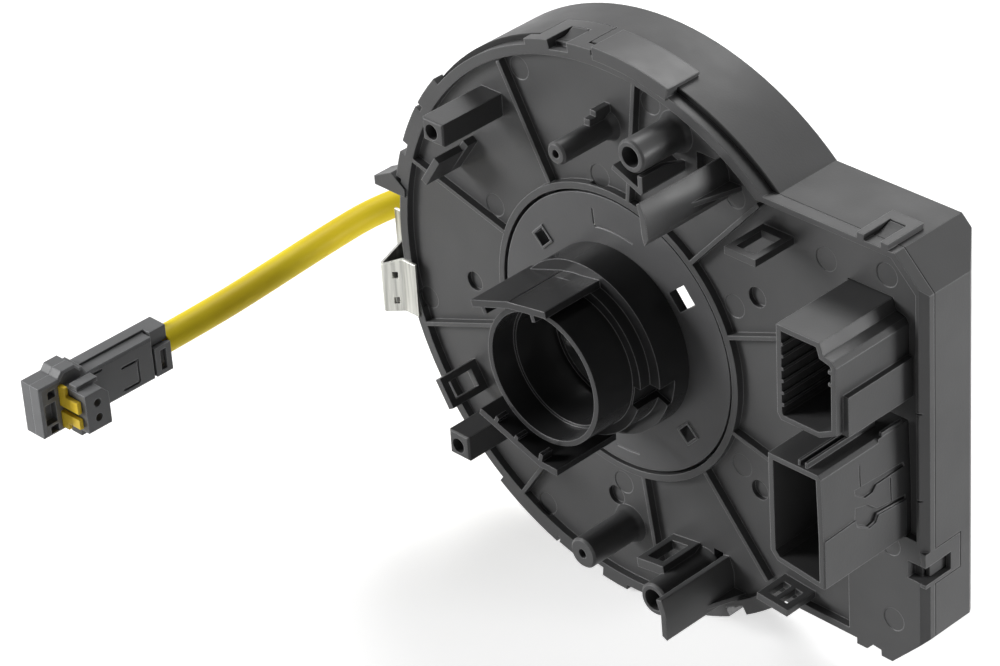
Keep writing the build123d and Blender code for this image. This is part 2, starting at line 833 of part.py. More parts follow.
# Rotor
def pointed_window(x, z, side):
    """A square hole that stands on its corner."""
    return Pos(x, z) * Rot(0, 0, 45) * Rectangle(side, side)


def rotor_slot():
    """The short slot that is cut right through the disc."""
    return Pos(*polar(slot_radius, slot_angle)) * Rot(0, 0, slot_angle) * Rectangle(*slot_size)


def rotor_disc():
    """The disc that fills the opening of the plate."""
    disc = between(Circle(rotor_disc_radius), rotor_face_depth, rotor_disc_back)
    disc += between(ring(rotor_disc_radius - disc_rim_width, rotor_disc_radius), rotor_disc_back, drum_front)
    disc -= between(Circle(sleeve_spigot_radius + sleeve_gap), rotor_face_depth, rotor_disc_back)
    for x, z in window_places:
        disc += between(pointed_window(x, z, window_side + window_rim), 0, rotor_face_depth)
        disc -= between(pointed_window(x, z, window_side), 0, rotor_disc_back)
    line = ring_sector(20.3, 20.6, 76, 101) + ring_sector(23.8, 24.1, -93, -80)
    line += strip((-4.4, 23.5), (-4.1, 20.4), 0.3)
    disc -= between(line, rotor_face_depth, rotor_face_depth + 0.15)
    return disc - between(rotor_slot(), rotor_face_depth, rotor_disc_back)


def winding_drum():
    """The drum that the ribbon cable winds on, with the disc on the wheel side."""
    flange = between(ring(drum_radius - drum_flange_width, drum_radius), drum_front, drum_front + drum_wall)
    wall = between(ring(drum_radius - drum_wall, drum_radius), drum_front, wheel_disc_front)
    disc = between(ring(wheel_opening_radius, wheel_disc_radius), wheel_disc_front, wheel_disc_back)
    collar = between(
        ring(wheel_opening_radius, wheel_opening_radius + wheel_collar_wall),
        wheel_disc_back, wheel_disc_back + wheel_collar_height)
    drum = flange + wall + disc + collar
    for i in range(wheel_rib_count):
        angle = wheel_rib_start + i * 360 / wheel_rib_count
        rib = strip(polar(wheel_opening_radius + 1, angle), polar(wheel_disc_radius - 0.8, angle), 1.0)
        drum += between(rib, wheel_disc_back, wheel_disc_back + wheel_rib_height)
    rim = ring(wheel_disc_radius - wheel_rim_width, wheel_disc_radius)
    gap = ring_sector(wheel_opening_radius - 1, wheel_opening_radius + wheel_collar_height, *collar_gap)
    drum -= between(gap, wheel_disc_back, wheel_disc_back + wheel_collar_height)
    drum += between(rim, wheel_disc_back, wheel_disc_back + wheel_rib_height)
    foot = wheel_frame() * Rectangle(wheel_socket_width + seat_gap, wheel_socket_height + seat_gap)
    return drum - between(foot, wheel_disc_back, wheel_disc_back + wheel_collar_height)


def profile_ring(points):
    """A turned body from its radius and depth points."""
    face = make_face(Polyline(*[(r, y, 0) for r, y in points], close=True))
    return revolve(face, axis=Axis.Y)


def cam_sleeve():
    """The gloss sleeve that carries the turn signal cancel lugs around the shaft bore."""
    sleeve = profile_ring((
        (bore_radius, bore_front), (step_radius, bore_front), (step_radius, step_front),
        (mouth_radius, step_front), (mouth_radius, -tube_length), (tube_radius, -tube_length),
        (tube_radius, -collar_height), (collar_radius, -collar_height), (collar_radius, -neck_height),
        (neck_radius, -neck_height), (neck_radius, rotor_face_depth),
        (sleeve_spigot_radius, rotor_face_depth), (sleeve_spigot_radius, rotor_disc_back),
        (sleeve_tail_radius, rotor_disc_back), (sleeve_tail_radius, sleeve_tail), (bore_radius, sleeve_tail),
    ))
    shoulder = ring_sector(collar_radius, neck_radius + 1, -92, -20)
    sleeve -= between(shoulder, -neck_height, -low_neck_height)
    notch = ring_sector(tube_radius + 0.4, neck_radius + 1, -20, -3)
    sleeve -= between(notch, -collar_height, -3.5)
    for start, end in lug_lines:
        sleeve += between(strip(start, end, lug_thickness), -lug_length, lug_root - neck_height)
    for start, end in lug_hooks:
        sleeve += between(strip(start, end, 0.8), -lug_length, hook_length - lug_length)
    return sleeve


# Sockets, bosses and the lead on the wheel side
def wheel_frame():
    """The local frame of the wheel side socket, on the disc."""
    centre = polar(wheel_disc_radius - wheel_socket_inset, wheel_socket_angle)
    return Pos(*centre) * Rot(0, 0, wheel_socket_angle - 90)


def wheel_socket():
    """The socket for the switches of the steering wheel."""
    place = wheel_frame()
    outside = place * RectangleRounded(wheel_socket_width, wheel_socket_height, 1.0)
    inside = place * Rectangle(wheel_socket_width - 2 * socket_wall, wheel_socket_height - 2 * socket_wall)
    body = between(outside, wheel_disc_back, wheel_disc_back + wheel_socket_length)
    cavity = between(inside, wheel_disc_back + 3.0, wheel_disc_back + wheel_socket_length)
    key = place * Pos(0, wheel_socket_height / 2) * Rectangle(3.0, 3.0)
    return body - cavity - between(key, wheel_disc_back + 5.0, wheel_disc_back + wheel_socket_length)


def wheel_pins():
    """The pins of the wheel side socket."""
    place = wheel_frame()
    pins = []
    for i in range(wheel_pin_columns):
        for j in range(wheel_pin_rows):
            x = (i - (wheel_pin_columns - 1) / 2) * pin_pitch
            z = (j - (wheel_pin_rows - 1) / 2) * pin_pitch
            bar = place * Pos(x, z) * Rectangle(pin_size, pin_size)
            pins.append(between(bar, wheel_disc_back + 3.0, wheel_disc_back + 7.5))
    return Compound(pins)


def drive_bosses():
    """The two bosses that the steering wheel turns the rotor by."""
    bosses = []
    for angle in (drive_boss_angle, drive_boss_angle + 180):
        x, z = polar(wheel_disc_radius - drive_boss_inset, angle)
        section = Pos(x, z) * Circle(drive_boss_radius)
        boss = between(section, wheel_disc_back, wheel_disc_back + drive_boss_length)
        bosses.append(chamfer(boss.faces().sort_by(Axis.Y)[-1].edges(), drive_boss_chamfer))
    return Compound(bosses)


def strain_relief():
    """The ribbed grommet that leans with the lead's first run and stands on the disc."""
    start = Vector(*lead_points[0])
    run = Vector(*lead_points[1]) - start
    foot = Plane(origin=start, z_dir=run * -1)
    stem = extrude(foot * Circle(relief_radius - relief_rib), amount=2 * relief_length)
    for i in range(3):
        stem += extrude(foot.offset(0.8 + 2.2 * i) * Circle(relief_radius), amount=1.1)
    stem += extrude(foot.offset(relief_length - 0.6) * Circle(relief_radius), amount=relief_length)
    below = between(Circle(wheel_disc_radius), -wheel_disc_back, wheel_disc_back)
    return stem - below


def corner_radii(points):
    """The largest arcs that the runs of a route allow, one for each corner."""
    radii = []
    for before, corner, after in zip(points, points[1:], points[2:]):
        run_in = Vector(*corner) - Vector(*before)
        run_out = Vector(*after) - Vector(*corner)
        half_turn = math.radians(run_in.get_angle(run_out)) / 2
        radii.append(0.45 * min(run_in.length, run_out.length) / math.tan(half_turn))
    return radii


def squib_lead():
    """The yellow lead, as a tube along its route."""
    radii = corner_radii(lead_points)
    route = FilletPolyline(*lead_points, radius=radii)
    section = Plane(origin=route @ 0, z_dir=route % 0) * Circle(lead_diameter / 2)
    tube = sweep(section, path=route)
    print("lead radii", [round(r, 1) for r in radii])
    print("lead length", round(route.length, 1), "volume share", round(
        tube.volume / (section.area * route.length), 4))
    return tube


# Small connector at the end of the lead
def at_lead_end(shape):
    """A shape modelled about the origin, moved to the end of the lead."""
    return Pos(*lead_points[-1]) * shape


def side_profile(top):
    """The outline of a half shell of the small connector, seen along X."""
    end = -connector_length
    return Polygon(
        (-connector_gap, connector_foot), (-connector_gap, top), (head_start, top),
        (head_start - 0.8, head_top), (bump_start, head_top),
        (bump_start - 1, head_top + bump_height), (bump_end + 1, head_top + bump_height),
        (bump_end, head_top), (end, head_top), (end, connector_foot),
    )


def lock_slots(grow):
    """The sections of the lock's legs, seen along X."""
    side = nose_centre - nose_width / 2 - lock_side_gap
    legs = rectangle(side - lock_plate - grow, 0.2 - grow, side + grow, 4.4 + grow)
    return legs + rectangle(side - lock_plate - grow, -4.4 - grow, side + grow, -1.0 + grow)


def along_x(sketch, left, right):
    """A sketch in Y and Z carried from x = left to x = right."""
    return extrude(Plane.YZ.offset(left) * sketch, amount=right - left, dir=(1, 0, 0))


def connector_base():
    """The rear half shell of the small connector, with the collar that grips the lead."""
    base = along_x(side_profile(arm_top), -base_width, 0)
    base = chamfer(base.faces().sort_by(Axis.X)[0].edges(), 0.5)
    base += along_x(rectangle(cover_start + 0.3, 1.4, -connector_gap, arm_top), 0, cover_width - 1.0)
    return at_lead_end(base - along_x(lock_slots(lock_gap), -base_width, 0))


def connector_cover():
    """The front half shell with its latch slot, and the head that holds the nose."""
    cover = along_x(side_profile(arm_top - arm_step), 0, cover_width)
    cover -= along_x(rectangle(cover_start, connector_foot - 1, 1, head_top), 0, cover_width)
    cover = chamfer(cover.faces().sort_by(Axis.X)[-1].edges(), 0.4)
    latch = strip((-11.9, 0.9), (-8.0, 0.9), 0.5) + strip((-8.0, 1.1), (-8.0, -3.8), 0.5)
    latch += strip((-8.0, -3.8), (-11.9, -3.8), 0.5) + strip((-18.7, 2.9), (-16.2, 2.9), 0.5)
    cover -= along_x(latch, cover_width - 0.5, cover_width)
    pockets = rectangle(-28.9, 2.6, -27.2, 4.2) + rectangle(-29.9, -2.5, -27.4, 1.7)
    pockets += rectangle(-29.1, -4.5, -27.3, -3.0)
    cover -= along_x(pockets, cover_width - 1.6, cover_width)
    tail = rectangle(cover_start, connector_foot, -0.6, 1.2)
    cover += along_x(tail, 0, 1.0) + along_x(rectangle(cover_start, connector_foot, -0.6, -4.0), 0, 1.8)
    return at_lead_end(cover - along_x(lock_slots(lock_gap), 0, cover_width))


def end_clip():
    """The small framed clip that closes the lead's entry."""
    frame = rectangle(-3.9, -4.8, -connector_gap, 1.2) - rectangle(-2.7, -3.9, -1.3, 0.3)
    clip = along_x(frame, 1.8, 2.8) + along_x(rectangle(-3.9, -3.9, -2.7, 1.2), 1.0, 1.8)
    return at_lead_end(clip)


def connector_nose():
    """The nose with its two contact bores and the guide hooks above and below it."""
    left = nose_centre - nose_width / 2
    right = nose_centre + nose_width / 2
    nose = along_x(rectangle(left, nose_bottom, right, nose_top), cover_width, cover_width + nose_length)
    nose = chamfer(nose.edges().filter_by(Axis.X).sort_by(Axis.Z)[-1:], 1.4)
    for z in (squib_pitch / 2, -squib_pitch / 2):
        bore = Pos(nose_centre, z) * Circle(squib_pin_radius + 0.3)
        nose -= along_x(bore, cover_width + 1, cover_width + nose_length)
    upper = rectangle(nose_centre - 2.4, nose_top, nose_centre + 2.4, nose_top + 0.9)
    lower = rectangle(nose_centre - 2.4, nose_bottom - 1.6, nose_centre + 2.4, nose_bottom)
    nose += along_x(upper, cover_width + 1.6, cover_width + 3.6)
    nose += along_x(lower, cover_width + 0.6, cover_width + 3.4)
    return at_lead_end(nose)


def squib_contacts():
    """The two contacts that stand in the nose."""
    contacts = []
    for z in (squib_pitch / 2, -squib_pitch / 2):
        section = Pos(nose_centre, z) * Circle(squib_pin_radius)
        pin = along_x(section, cover_width + 1, cover_width + nose_length - 1.5)
        contacts.append(at_lead_end(pin))
    return Compound(contacts)


def squib_lock():
    """The yellow lock: two legs along the nose and the button behind the base."""
    button_front = -base_width - lock_travel - lock_side_gap
    side = nose_centre - nose_width / 2 - lock_side_gap
    lock = along_x(lock_slots(0), button_front, cover_width + 1.6)
    arms = rectangle(side - lock_plate, 0.2, side, 2.6) + rectangle(side - lock_plate, -3.0, side, -1.0)
    lock += along_x(arms, cover_width + 1.6, cover_width + 5.0)
    button = rectangle(side - lock_plate, -4.4, nose_centre + 1, 2.4)
    lock += along_x(button, button_front - lock_button, button_front)
    lock -= along_x(rectangle(side - lock_plate, 2.4, side, 4.4), button_front, -base_width)
    return at_lead_end(lock)


# Retaining clip of sheet steel
def retaining_clip():
    """The bent steel clip on the left of the housing."""
    outer = clip_side - clip_sheet
    bend = FilletPolyline(
        (clip_left, clip_back), (outer, clip_back), (outer, clip_front), (clip_nose, -clip_sheet),
        (clip_tab, -clip_sheet), radius=clip_bend)
    strip_wire = offset(bend, amount=clip_sheet, side=Side.LEFT)
    sheet = Plane.XY.offset(clip_bottom) * make_face(strip_wire)
    leaf = extrude(sheet, amount=clip_back_top - clip_bottom, dir=(0, 0, 1))
    fall = Polygon(
        (clip_back - 0.5, clip_back_top), (clip_front, clip_front_top), (clip_front - 5, clip_front_top),
        (clip_front - 5, 5), (clip_back - 0.5, 5))
    leaf -= along_x(fall, clip_left - 1, clip_tab + 1)
    left = -plate_radius - clip_slot_place - clip_slot_width
    for low, high in clip_slots:
        slot = rectangle(left, low, left + clip_slot_width, high)
        leaf -= between(slot, clip_front, 1)
    return leaf


upper_pins = pin_places(upper_pin_inset, upper_pin_bottom, 6)
lower_pins = pin_places(lower_pin_inset, lower_pin_bottom, 7)
lower_socket = lower_connector()
upper_socket = upper_connector()
plate = column_plate()
for outline in (upper_outline, lower_outline):
    plate -= between(socket_window(outline), -1, panel_back)
plate += top_edge_loop() + side_edge_loop() + cover_strip()
plate -= side_edge_window()
for loop in rim_loops:
    plate -= between(ring_sector(plate_radius - loop_wall, shell_radius, loop[2], loop[3]), 0, loop_lip)
    plate += rim_loop(*loop)
for frame in snap_frames:
    plate += snap_frame(*frame)
save("column_plate", plate, (0.10, 0.10, 0.10))
save("outer_shell", outer_shell(), (0.12, 0.12, 0.12))
save("upper_connector_housing", upper_socket, (0.10, 0.10, 0.10))
save("lower_connector_housing", lower_socket, (0.10, 0.10, 0.10))
save("upper_connector_pins", pin_group(upper_pins), (0.80, 0.78, 0.72))
save("lower_connector_pins", pin_group(lower_pins), (0.80, 0.78, 0.72))
save("terminal_carrier", terminal_carrier(), (0.20, 0.20, 0.20))
save("busbar_set", busbars(), (0.80, 0.62, 0.30))
save("ribbon_cable", ribbon_cable(), (0.75, 0.70, 0.55))
save("front_slip_sheet", slip_ring(panel_back), (0.14, 0.14, 0.14))
save("rear_slip_sheet", slip_ring(rear_wall_front - slip_sheet), (0.14, 0.14, 0.14))
save("rotor_disc", rotor_disc(), (0.06, 0.06, 0.06))
save("winding_drum", winding_drum(), (0.10, 0.10, 0.10))
save("cancel_cam_sleeve", cam_sleeve(), (0.03, 0.03, 0.03))
save("wheel_connector_housing", wheel_socket(), (0.10, 0.10, 0.10))
save("wheel_connector_pins", wheel_pins(), (0.80, 0.78, 0.72))
save("drive_bosses", drive_bosses(), (0.10, 0.10, 0.10))
save("lead_strain_relief", strain_relief(), (0.06, 0.06, 0.06))
save("squib_lead", squib_lead(), (0.85, 0.75, 0.15))
save("squib_connector_base", connector_base(), (0.12, 0.12, 0.13))
save("squib_connector_cover", connector_cover(), (0.12, 0.12, 0.13))
save("squib_end_clip", end_clip(), (0.12, 0.12, 0.13))
save("squib_nose", connector_nose(), (0.12, 0.12, 0.13))
save("squib_contacts", squib_contacts(), (0.85, 0.70, 0.35))
save("squib_lock", squib_lock(), (0.90, 0.75, 0.15))
save("retaining_clip", retaining_clip(), (0.80, 0.80, 0.80))
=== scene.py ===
import math

import bpy
from mathutils import Matrix, Vector


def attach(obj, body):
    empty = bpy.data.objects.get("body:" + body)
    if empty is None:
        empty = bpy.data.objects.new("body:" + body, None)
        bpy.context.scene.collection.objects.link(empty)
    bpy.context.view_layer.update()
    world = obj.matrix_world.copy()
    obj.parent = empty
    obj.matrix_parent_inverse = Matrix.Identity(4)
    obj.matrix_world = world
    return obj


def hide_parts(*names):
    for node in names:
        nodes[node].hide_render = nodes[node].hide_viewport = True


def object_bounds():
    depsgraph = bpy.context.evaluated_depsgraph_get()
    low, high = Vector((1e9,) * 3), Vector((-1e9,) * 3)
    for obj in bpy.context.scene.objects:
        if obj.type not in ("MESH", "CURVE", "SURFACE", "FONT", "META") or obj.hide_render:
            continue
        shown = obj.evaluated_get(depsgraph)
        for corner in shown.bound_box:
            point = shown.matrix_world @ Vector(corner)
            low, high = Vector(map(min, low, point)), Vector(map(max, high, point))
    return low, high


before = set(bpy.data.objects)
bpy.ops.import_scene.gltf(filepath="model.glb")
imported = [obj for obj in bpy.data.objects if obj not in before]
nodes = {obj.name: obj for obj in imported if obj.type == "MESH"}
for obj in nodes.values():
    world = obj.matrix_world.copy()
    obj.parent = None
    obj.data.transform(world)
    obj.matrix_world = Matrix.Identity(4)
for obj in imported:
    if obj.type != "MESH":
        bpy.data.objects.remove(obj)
cad_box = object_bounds()
MM = 0.001

# Camera, from the calibrated view of the photograph (angles in degrees, lens in millimetres)
CAMERA_AZIMUTH = 47.159
CAMERA_ELEVATION = 32.031
CAMERA_ROLL = -3.997
CAMERA_DISTANCE = 704.797 * MM
CAMERA_RIGHT = -20.067 * MM
CAMERA_UP = 0.046 * MM
CAMERA_LENS = 145.964
CAMERA_SENSOR = 36
CAMERA_NEAR = 10 * MM

# Studio: name, place, width, height and power of each lamp, in metres and watts
LAMPS = (
    ("key", (-0.95, -0.90, 0.42), 0.5, 0.5, 17),
    ("top", (-0.40, 0.75, 1.0), 0.6, 0.5, 10),
    ("right", (1.10, 0.62, 0.0), 0.5, 0.6, 19),
)
LAMP_TARGET = (0, 0, 0)
WORLD_LEVEL = 0.055
FLOOR_REACH = 4.0
FLOOR_GAP = 0.5 * MM
FLOOR_TONE = 0.86
FLOOR_GLOW = 0.55
GLOW_NEAR = 0.4
GLOW_FAR = 2.4
WHITE = (1, 1, 1, 1)

# Lead
LEAD_DIAMETER = 5.4 * MM
LEAD_STEPS = 16
LEAD_ROUND_STEPS = 10
LEAD_ROUTE = (
    (-24.2, 24.0, -12.0),
    (-30.9, 35.6, -12.2),
    (-41.9, 43.4, -12.6),
    (-55.1, 45.7, -13.1),
    (-68.1, 42.3, -13.8),
    (-78.3, 33.6, -14.6),
    (-83.9, 21.4, -15.6),
    (-84.3, 5.5, -16.8),
    (-83.7, -10.3, -17.6),
    (-83.1, -23.0, -17.9),
    (-83.3, -35.0, -18.2),
)

# Range that noise seldom leaves
NOISE_LOW = 0.3
NOISE_HIGH = 0.7

# Slow shifts in tone and gloss: waves per metre, layers of detail, and how far they go
TONE_WAVES = 55
TONE_DETAIL = 3
TONE_SHIFT = 0.10
GLOSS_WAVES = 140
GLOSS_DETAIL = 4
GLOSS_SHIFT = 0.05

# Moulded grain: waves per metre, layers of detail and heights
GRAIN_WAVES = 2600
GRAIN_DETAIL = 2
SHEATH_WAVES = 1800
GRAIN = 0.020 * MM
SOFT_GRAIN = 0.010 * MM
FILM_GRAIN = 0.008 * MM
POLISHED_GRAIN = 0.004 * MM

# Painted highlight on rounded edges, where they would catch the light: radius, and the lean of the normal
# where they start and where they are full
EDGE_RADIUS = 0.3 * MM
EDGE_SAMPLES = 6
EDGE_START = 0.995
EDGE_FULL = 0.80
EDGE_HIGHLIGHT = 2.4

# Specular level of plastic, and of the lead's sheath
PLASTIC_GLOSS = 0.25
SHEATH_GLOSS = 0.12

# Streaks of the rolled sheet, in waves per metre
STREAKS_ACROSS = 1500
STREAKS_ALONG = 60
STREAK_DETAIL = 3
STREAK_LOW = 0.35
STREAK_HIGH = 0.65
STREAK_HEIGHT = 0.008 * MM
STREAK_GLOSS_SHIFT = 0.08
STREAK_DARK = 0.70
STREAK_BRIGHT = 1.25
# Painted highlight on the sheet's edges: radius, and how much paler the edges are painted
SHEET_EDGE_RADIUS = 0.2 * MM
SHEET_EDGE_HIGHLIGHT = 1.5

# Painted shadow of the gap at the parting line between the plate and the shell
SEAM_DEPTH = 2.62 * MM
SEAM_BLUR = 0.06 * MM
SEAM_SHADE = 0.15

# Smooth shading: corners closer than this are one, and steeper edges stay sharp
WELD_DISTANCE = 0.001 * MM
SHARP_ANGLE = 32
FLAT_FACE_WEIGHT = 100


# Camera
def make_camera():
    """The camera at the photograph's place."""
    azimuth = math.radians(CAMERA_AZIMUTH)
    elevation = math.radians(CAMERA_ELEVATION)
    roll = math.radians(CAMERA_ROLL)
    out = math.cos(elevation)
    back = Vector((math.sin(azimuth) * out, -math.cos(azimuth) * out, math.sin(elevation)))
    level = Vector((math.cos(azimuth), math.sin(azimuth), 0))
    above = back.cross(level)
    right = level * math.cos(roll) + above * math.sin(roll)
    up = above * math.cos(roll) - level * math.sin(roll)
    place = back * CAMERA_DISTANCE + right * CAMERA_RIGHT + up * CAMERA_UP
    data = bpy.data.cameras.new("camera")
    data.lens = CAMERA_LENS
    data.sensor_width = CAMERA_SENSOR
    data.clip_start = CAMERA_NEAR
    camera = bpy.data.objects.new("camera", data)
    bpy.context.scene.collection.objects.link(camera)
    turn = Matrix((right, up, back)).transposed().to_4x4()
    camera.matrix_world = Matrix.Translation(place) @ turn
    bpy.context.scene.camera = camera


# Materials
class Graph:
    """A material with helpers that add and link its shader nodes."""

    def __init__(self, name):
        self.material = bpy.data.materials.new(name)
        self.material.use_nodes = True
        self.tree = self.material.node_tree
        self.shader = self.tree.nodes["Principled BSDF"]

    def add(self, kind, **settings):
        node = self.tree.nodes.new(kind)
        for key, value in settings.items():
            setattr(node, key, value)
        return node

    def link(self, source, target):
        self.tree.links.new(source, target)

    def drive(self, source, name):
        """Link a value to the shader's own socket."""
        self.link(source, self.shader.inputs[name])

    def coords(self):
        return self.add("ShaderNodeTexCoord").outputs["Object"]

    def noise(self, scale, detail):
        """Soft noise with the same waves each way."""
        noise = self.add("ShaderNodeTexNoise")
        noise.inputs["Scale"].default_value = scale
        noise.inputs["Detail"].default_value = detail
        self.link(self.coords(), noise.inputs["Vector"])
        return noise.outputs["Fac"]

    def streaks(self, across, along):
        """Noise drawn out along the height, as on rolled sheet."""
        stretch = self.add("ShaderNodeMapping")
        stretch.inputs["Scale"].default_value = (across, across, along)
        noise = self.add("ShaderNodeTexNoise")
        noise.inputs["Scale"].default_value = 1.0
        noise.inputs["Detail"].default_value = STREAK_DETAIL
        self.link(self.coords(), stretch.inputs["Vector"])
        self.link(stretch.outputs["Vector"], noise.inputs["Vector"])
        return noise.outputs["Fac"]

    def span(self, value, low, high, to_low, to_high):
        """A value carried from one range to another."""
        node = self.add("ShaderNodeMapRange")
        ranges = (("From Min", low), ("From Max", high), ("To Min", to_low), ("To Max", to_high))
        for key, number in ranges:
            node.inputs[key].default_value = number
        self.link(value, node.inputs["Value"])
        return node.outputs["Result"]

    def behind(self, depth):
        """Zero in front of a depth along the rotor axis and one behind it."""
        parts = self.add("ShaderNodeSeparateXYZ")
        self.link(self.coords(), parts.inputs[0])
        return self.span(parts.outputs["Y"], depth, depth + SEAM_BLUR, 0.0, 1.0)

    def edges(self, radius):
        """The rounded normal, and how far it leans away at an edge."""
        bevel = self.add("ShaderNodeBevel", samples=EDGE_SAMPLES)
        bevel.inputs["Radius"].default_value = radius
        geometry = self.add("ShaderNodeNewGeometry")
        dot = self.add("ShaderNodeVectorMath", operation="DOT_PRODUCT")
        self.link(bevel.outputs["Normal"], dot.inputs[0])
        self.link(geometry.outputs["Normal"], dot.inputs[1])
        lean = self.span(dot.outputs["Value"], EDGE_START, EDGE_FULL, 0.0, 1.0)
        return bevel.outputs["Normal"], lean

    def mix(self, factor, first, second):
        """A mix of two colours, each a plain colour or a node's output."""
        node = self.add("ShaderNodeMix", data_type="RGBA")
        self.link(factor, node.inputs["Factor"])
        for socket, value in ((node.inputs[6], first), (node.inputs[7], second)):
            if hasattr(value, "is_output"):
                self.link(value, socket)
            else:
                socket.default_value = (*value, 1)
        return node.outputs[2]

    def bump(self, height, distance, normal):
        node = self.add("ShaderNodeBump")
        node.inputs["Distance"].default_value = distance
        node.inputs["Strength"].default_value = 1.0
        self.link(height, node.inputs["Height"])
        self.link(normal, node.inputs["Normal"])
        return node.outputs["Normal"]


def scaled(color, factor):
    """A colour made lighter or darker."""
    return tuple(min(1.0, channel * factor) for channel in color)


def moulded(name, color, roughness, edge_highlight=EDGE_HIGHLIGHT, grain=GRAIN, waves=GRAIN_WAVES,
            gloss=PLASTIC_GLOSS, metallic=0.0, seam_shadow_depth=None):
    """A surface with fine grain, slow shifts in tone and gloss, a painted highlight on rounded edges, and
    a painted shadow of the gap in front of the seam depth when one is given.
    """
    graph = Graph(name)
    shift = graph.span(graph.noise(TONE_WAVES, TONE_DETAIL), NOISE_LOW, NOISE_HIGH, 0, 1)
    tone = graph.mix(shift, scaled(color, 1 - TONE_SHIFT), scaled(color, 1 + TONE_SHIFT))
    normal, highlight_mask = graph.edges(EDGE_RADIUS)
    # Painted highlight: the colour is made paler at rounded edges, where they would catch the light.
    paint = graph.mix(highlight_mask, tone, scaled(color, edge_highlight))
    # Painted shadow of the gap at the seam: the band in front of the given depth is darkened.
    if seam_shadow_depth is not None:
        paint = graph.mix(graph.behind(seam_shadow_depth), scaled(color, SEAM_SHADE), paint)
    graph.drive(paint, "Base Color")
    smooth, rough = roughness - GLOSS_SHIFT, roughness + GLOSS_SHIFT
    sheen = graph.span(graph.noise(GLOSS_WAVES, GLOSS_DETAIL), NOISE_LOW, NOISE_HIGH, smooth, rough)
    graph.drive(sheen, "Roughness")
    graph.drive(graph.bump(graph.noise(waves, GRAIN_DETAIL), grain, normal), "Normal")
    graph.shader.inputs["Metallic"].default_value = metallic
    graph.shader.inputs["Specular IOR Level"].default_value = gloss
    return graph.material


def rolled_sheet(name, color, roughness):
    """Rolled steel: fine streaks in tone and gloss along the height, and a painted highlight on its edges.
    """
    graph = Graph(name)
    rolled = graph.streaks(STREAKS_ACROSS, STREAKS_ALONG)
    shift = graph.span(rolled, STREAK_LOW, STREAK_HIGH, 0, 1)
    tone = graph.mix(shift, scaled(color, STREAK_DARK), scaled(color, STREAK_BRIGHT))
    normal, highlight_mask = graph.edges(SHEET_EDGE_RADIUS)
    # Painted highlight: the sheet is made paler at its edges, where they would catch the light.
    graph.drive(graph.mix(highlight_mask, tone, scaled(color, SHEET_EDGE_HIGHLIGHT)), "Base Color")
    smooth, rough = roughness - STREAK_GLOSS_SHIFT, roughness + STREAK_GLOSS_SHIFT
    graph.drive(graph.span(rolled, NOISE_LOW, NOISE_HIGH, smooth, rough), "Roughness")
    graph.drive(graph.bump(rolled, STREAK_HEIGHT, normal), "Normal")
    graph.shader.inputs["Metallic"].default_value = 1.0
    return graph.material


def metal(name, color, roughness):
    """A plated or stamped metal."""
    return moulded(name, color, roughness, edge_highlight=1.2, metallic=1.0)


def film(name, color, roughness):
    """A thin smooth film."""
    return moulded(name, color, roughness, edge_highlight=1.1, grain=FILM_GRAIN)


def smooth_round(obj):
    """Weld split corners and shade round faces smoothly, with sharp edges kept."""
    for polygon in obj.data.polygons:
        polygon.use_smooth = True
    weld = obj.modifiers.new("weld", "WELD")
    weld.merge_threshold = WELD_DISTANCE
    split = obj.modifiers.new("sharp edges", "EDGE_SPLIT")
    split.split_angle = math.radians(SHARP_ANGLE)
    normals = obj.modifiers.new("flat faces first", "WEIGHTED_NORMAL")
    normals.weight = FLAT_FACE_WEIGHT
    normals.keep_sharp = True


def dress(material, *names):
    """Give CAD nodes a material and smooth shading on their round faces."""
    for name in names:
        obj = nodes[name]
        obj.data.materials.clear()
        obj.data.materials.append(material)
        smooth_round(obj)


def dress_housing():
    """The plate, the shell and the sockets."""
    plate = moulded("plate_plastic", (0.076, 0.076, 0.077), 0.40, edge_highlight=3.0)
    dress(plate, "column_plate")
    # The shell gets a painted shadow of the gap along its front edge at the seam.
    shell = moulded("shell_plastic", (0.080, 0.080, 0.081), 0.50, edge_highlight=2.6, seam_shadow_depth=SEAM_DEPTH)
    dress(shell, "outer_shell")
    socket = moulded("socket_plastic", (0.068, 0.068, 0.069), 0.42, edge_highlight=3.4)
    dress(socket, "upper_connector_housing", "lower_connector_housing", "wheel_connector_housing")
    dress(moulded("carrier_plastic", (0.15, 0.15, 0.15), 0.5), "terminal_carrier")


def dress_rotor():
    """The disc, the drum, the gloss sleeve and the lead's grommet."""
    dress(moulded("rotor_plastic", (0.092, 0.092, 0.094), 0.36, edge_highlight=3.0), "rotor_disc")
    dress(moulded("drum_plastic", (0.095, 0.095, 0.098), 0.40), "winding_drum", "drive_bosses")
    sleeve = moulded("sleeve_plastic", (0.034, 0.034, 0.035), 0.22, edge_highlight=6.0, grain=POLISHED_GRAIN)
    dress(sleeve, "cancel_cam_sleeve")
    dress(moulded("relief_rubber", (0.045, 0.045, 0.045), 0.6), "lead_strain_relief")


def dress_small_connector():
    """The grey shells of the small connector and its yellow lock."""
    squib = moulded("squib_plastic", (0.135, 0.137, 0.140), 0.42)
    dress(squib, "squib_connector_base", "squib_connector_cover", "squib_end_clip", "squib_nose")
    lock = moulded("lock_plastic", (0.80, 0.56, 0.04), 0.35, edge_highlight=1.1, grain=SOFT_GRAIN)
    dress(lock, "squib_lock")


def dress_metals():
    """The clip, the contacts and the stamped circuits."""
    dress(rolled_sheet("spring_steel", (0.50, 0.50, 0.465), 0.34), "retaining_clip")
    tinned = metal("tinned_contact", (0.72, 0.71, 0.67), 0.25)
    dress(tinned, "upper_connector_pins", "lower_connector_pins", "wheel_connector_pins")
    dress(metal("gilt_contact", (0.80, 0.62, 0.28), 0.25), "squib_contacts")
    dress(metal("busbar_brass", (0.72, 0.55, 0.25), 0.3), "busbar_set")


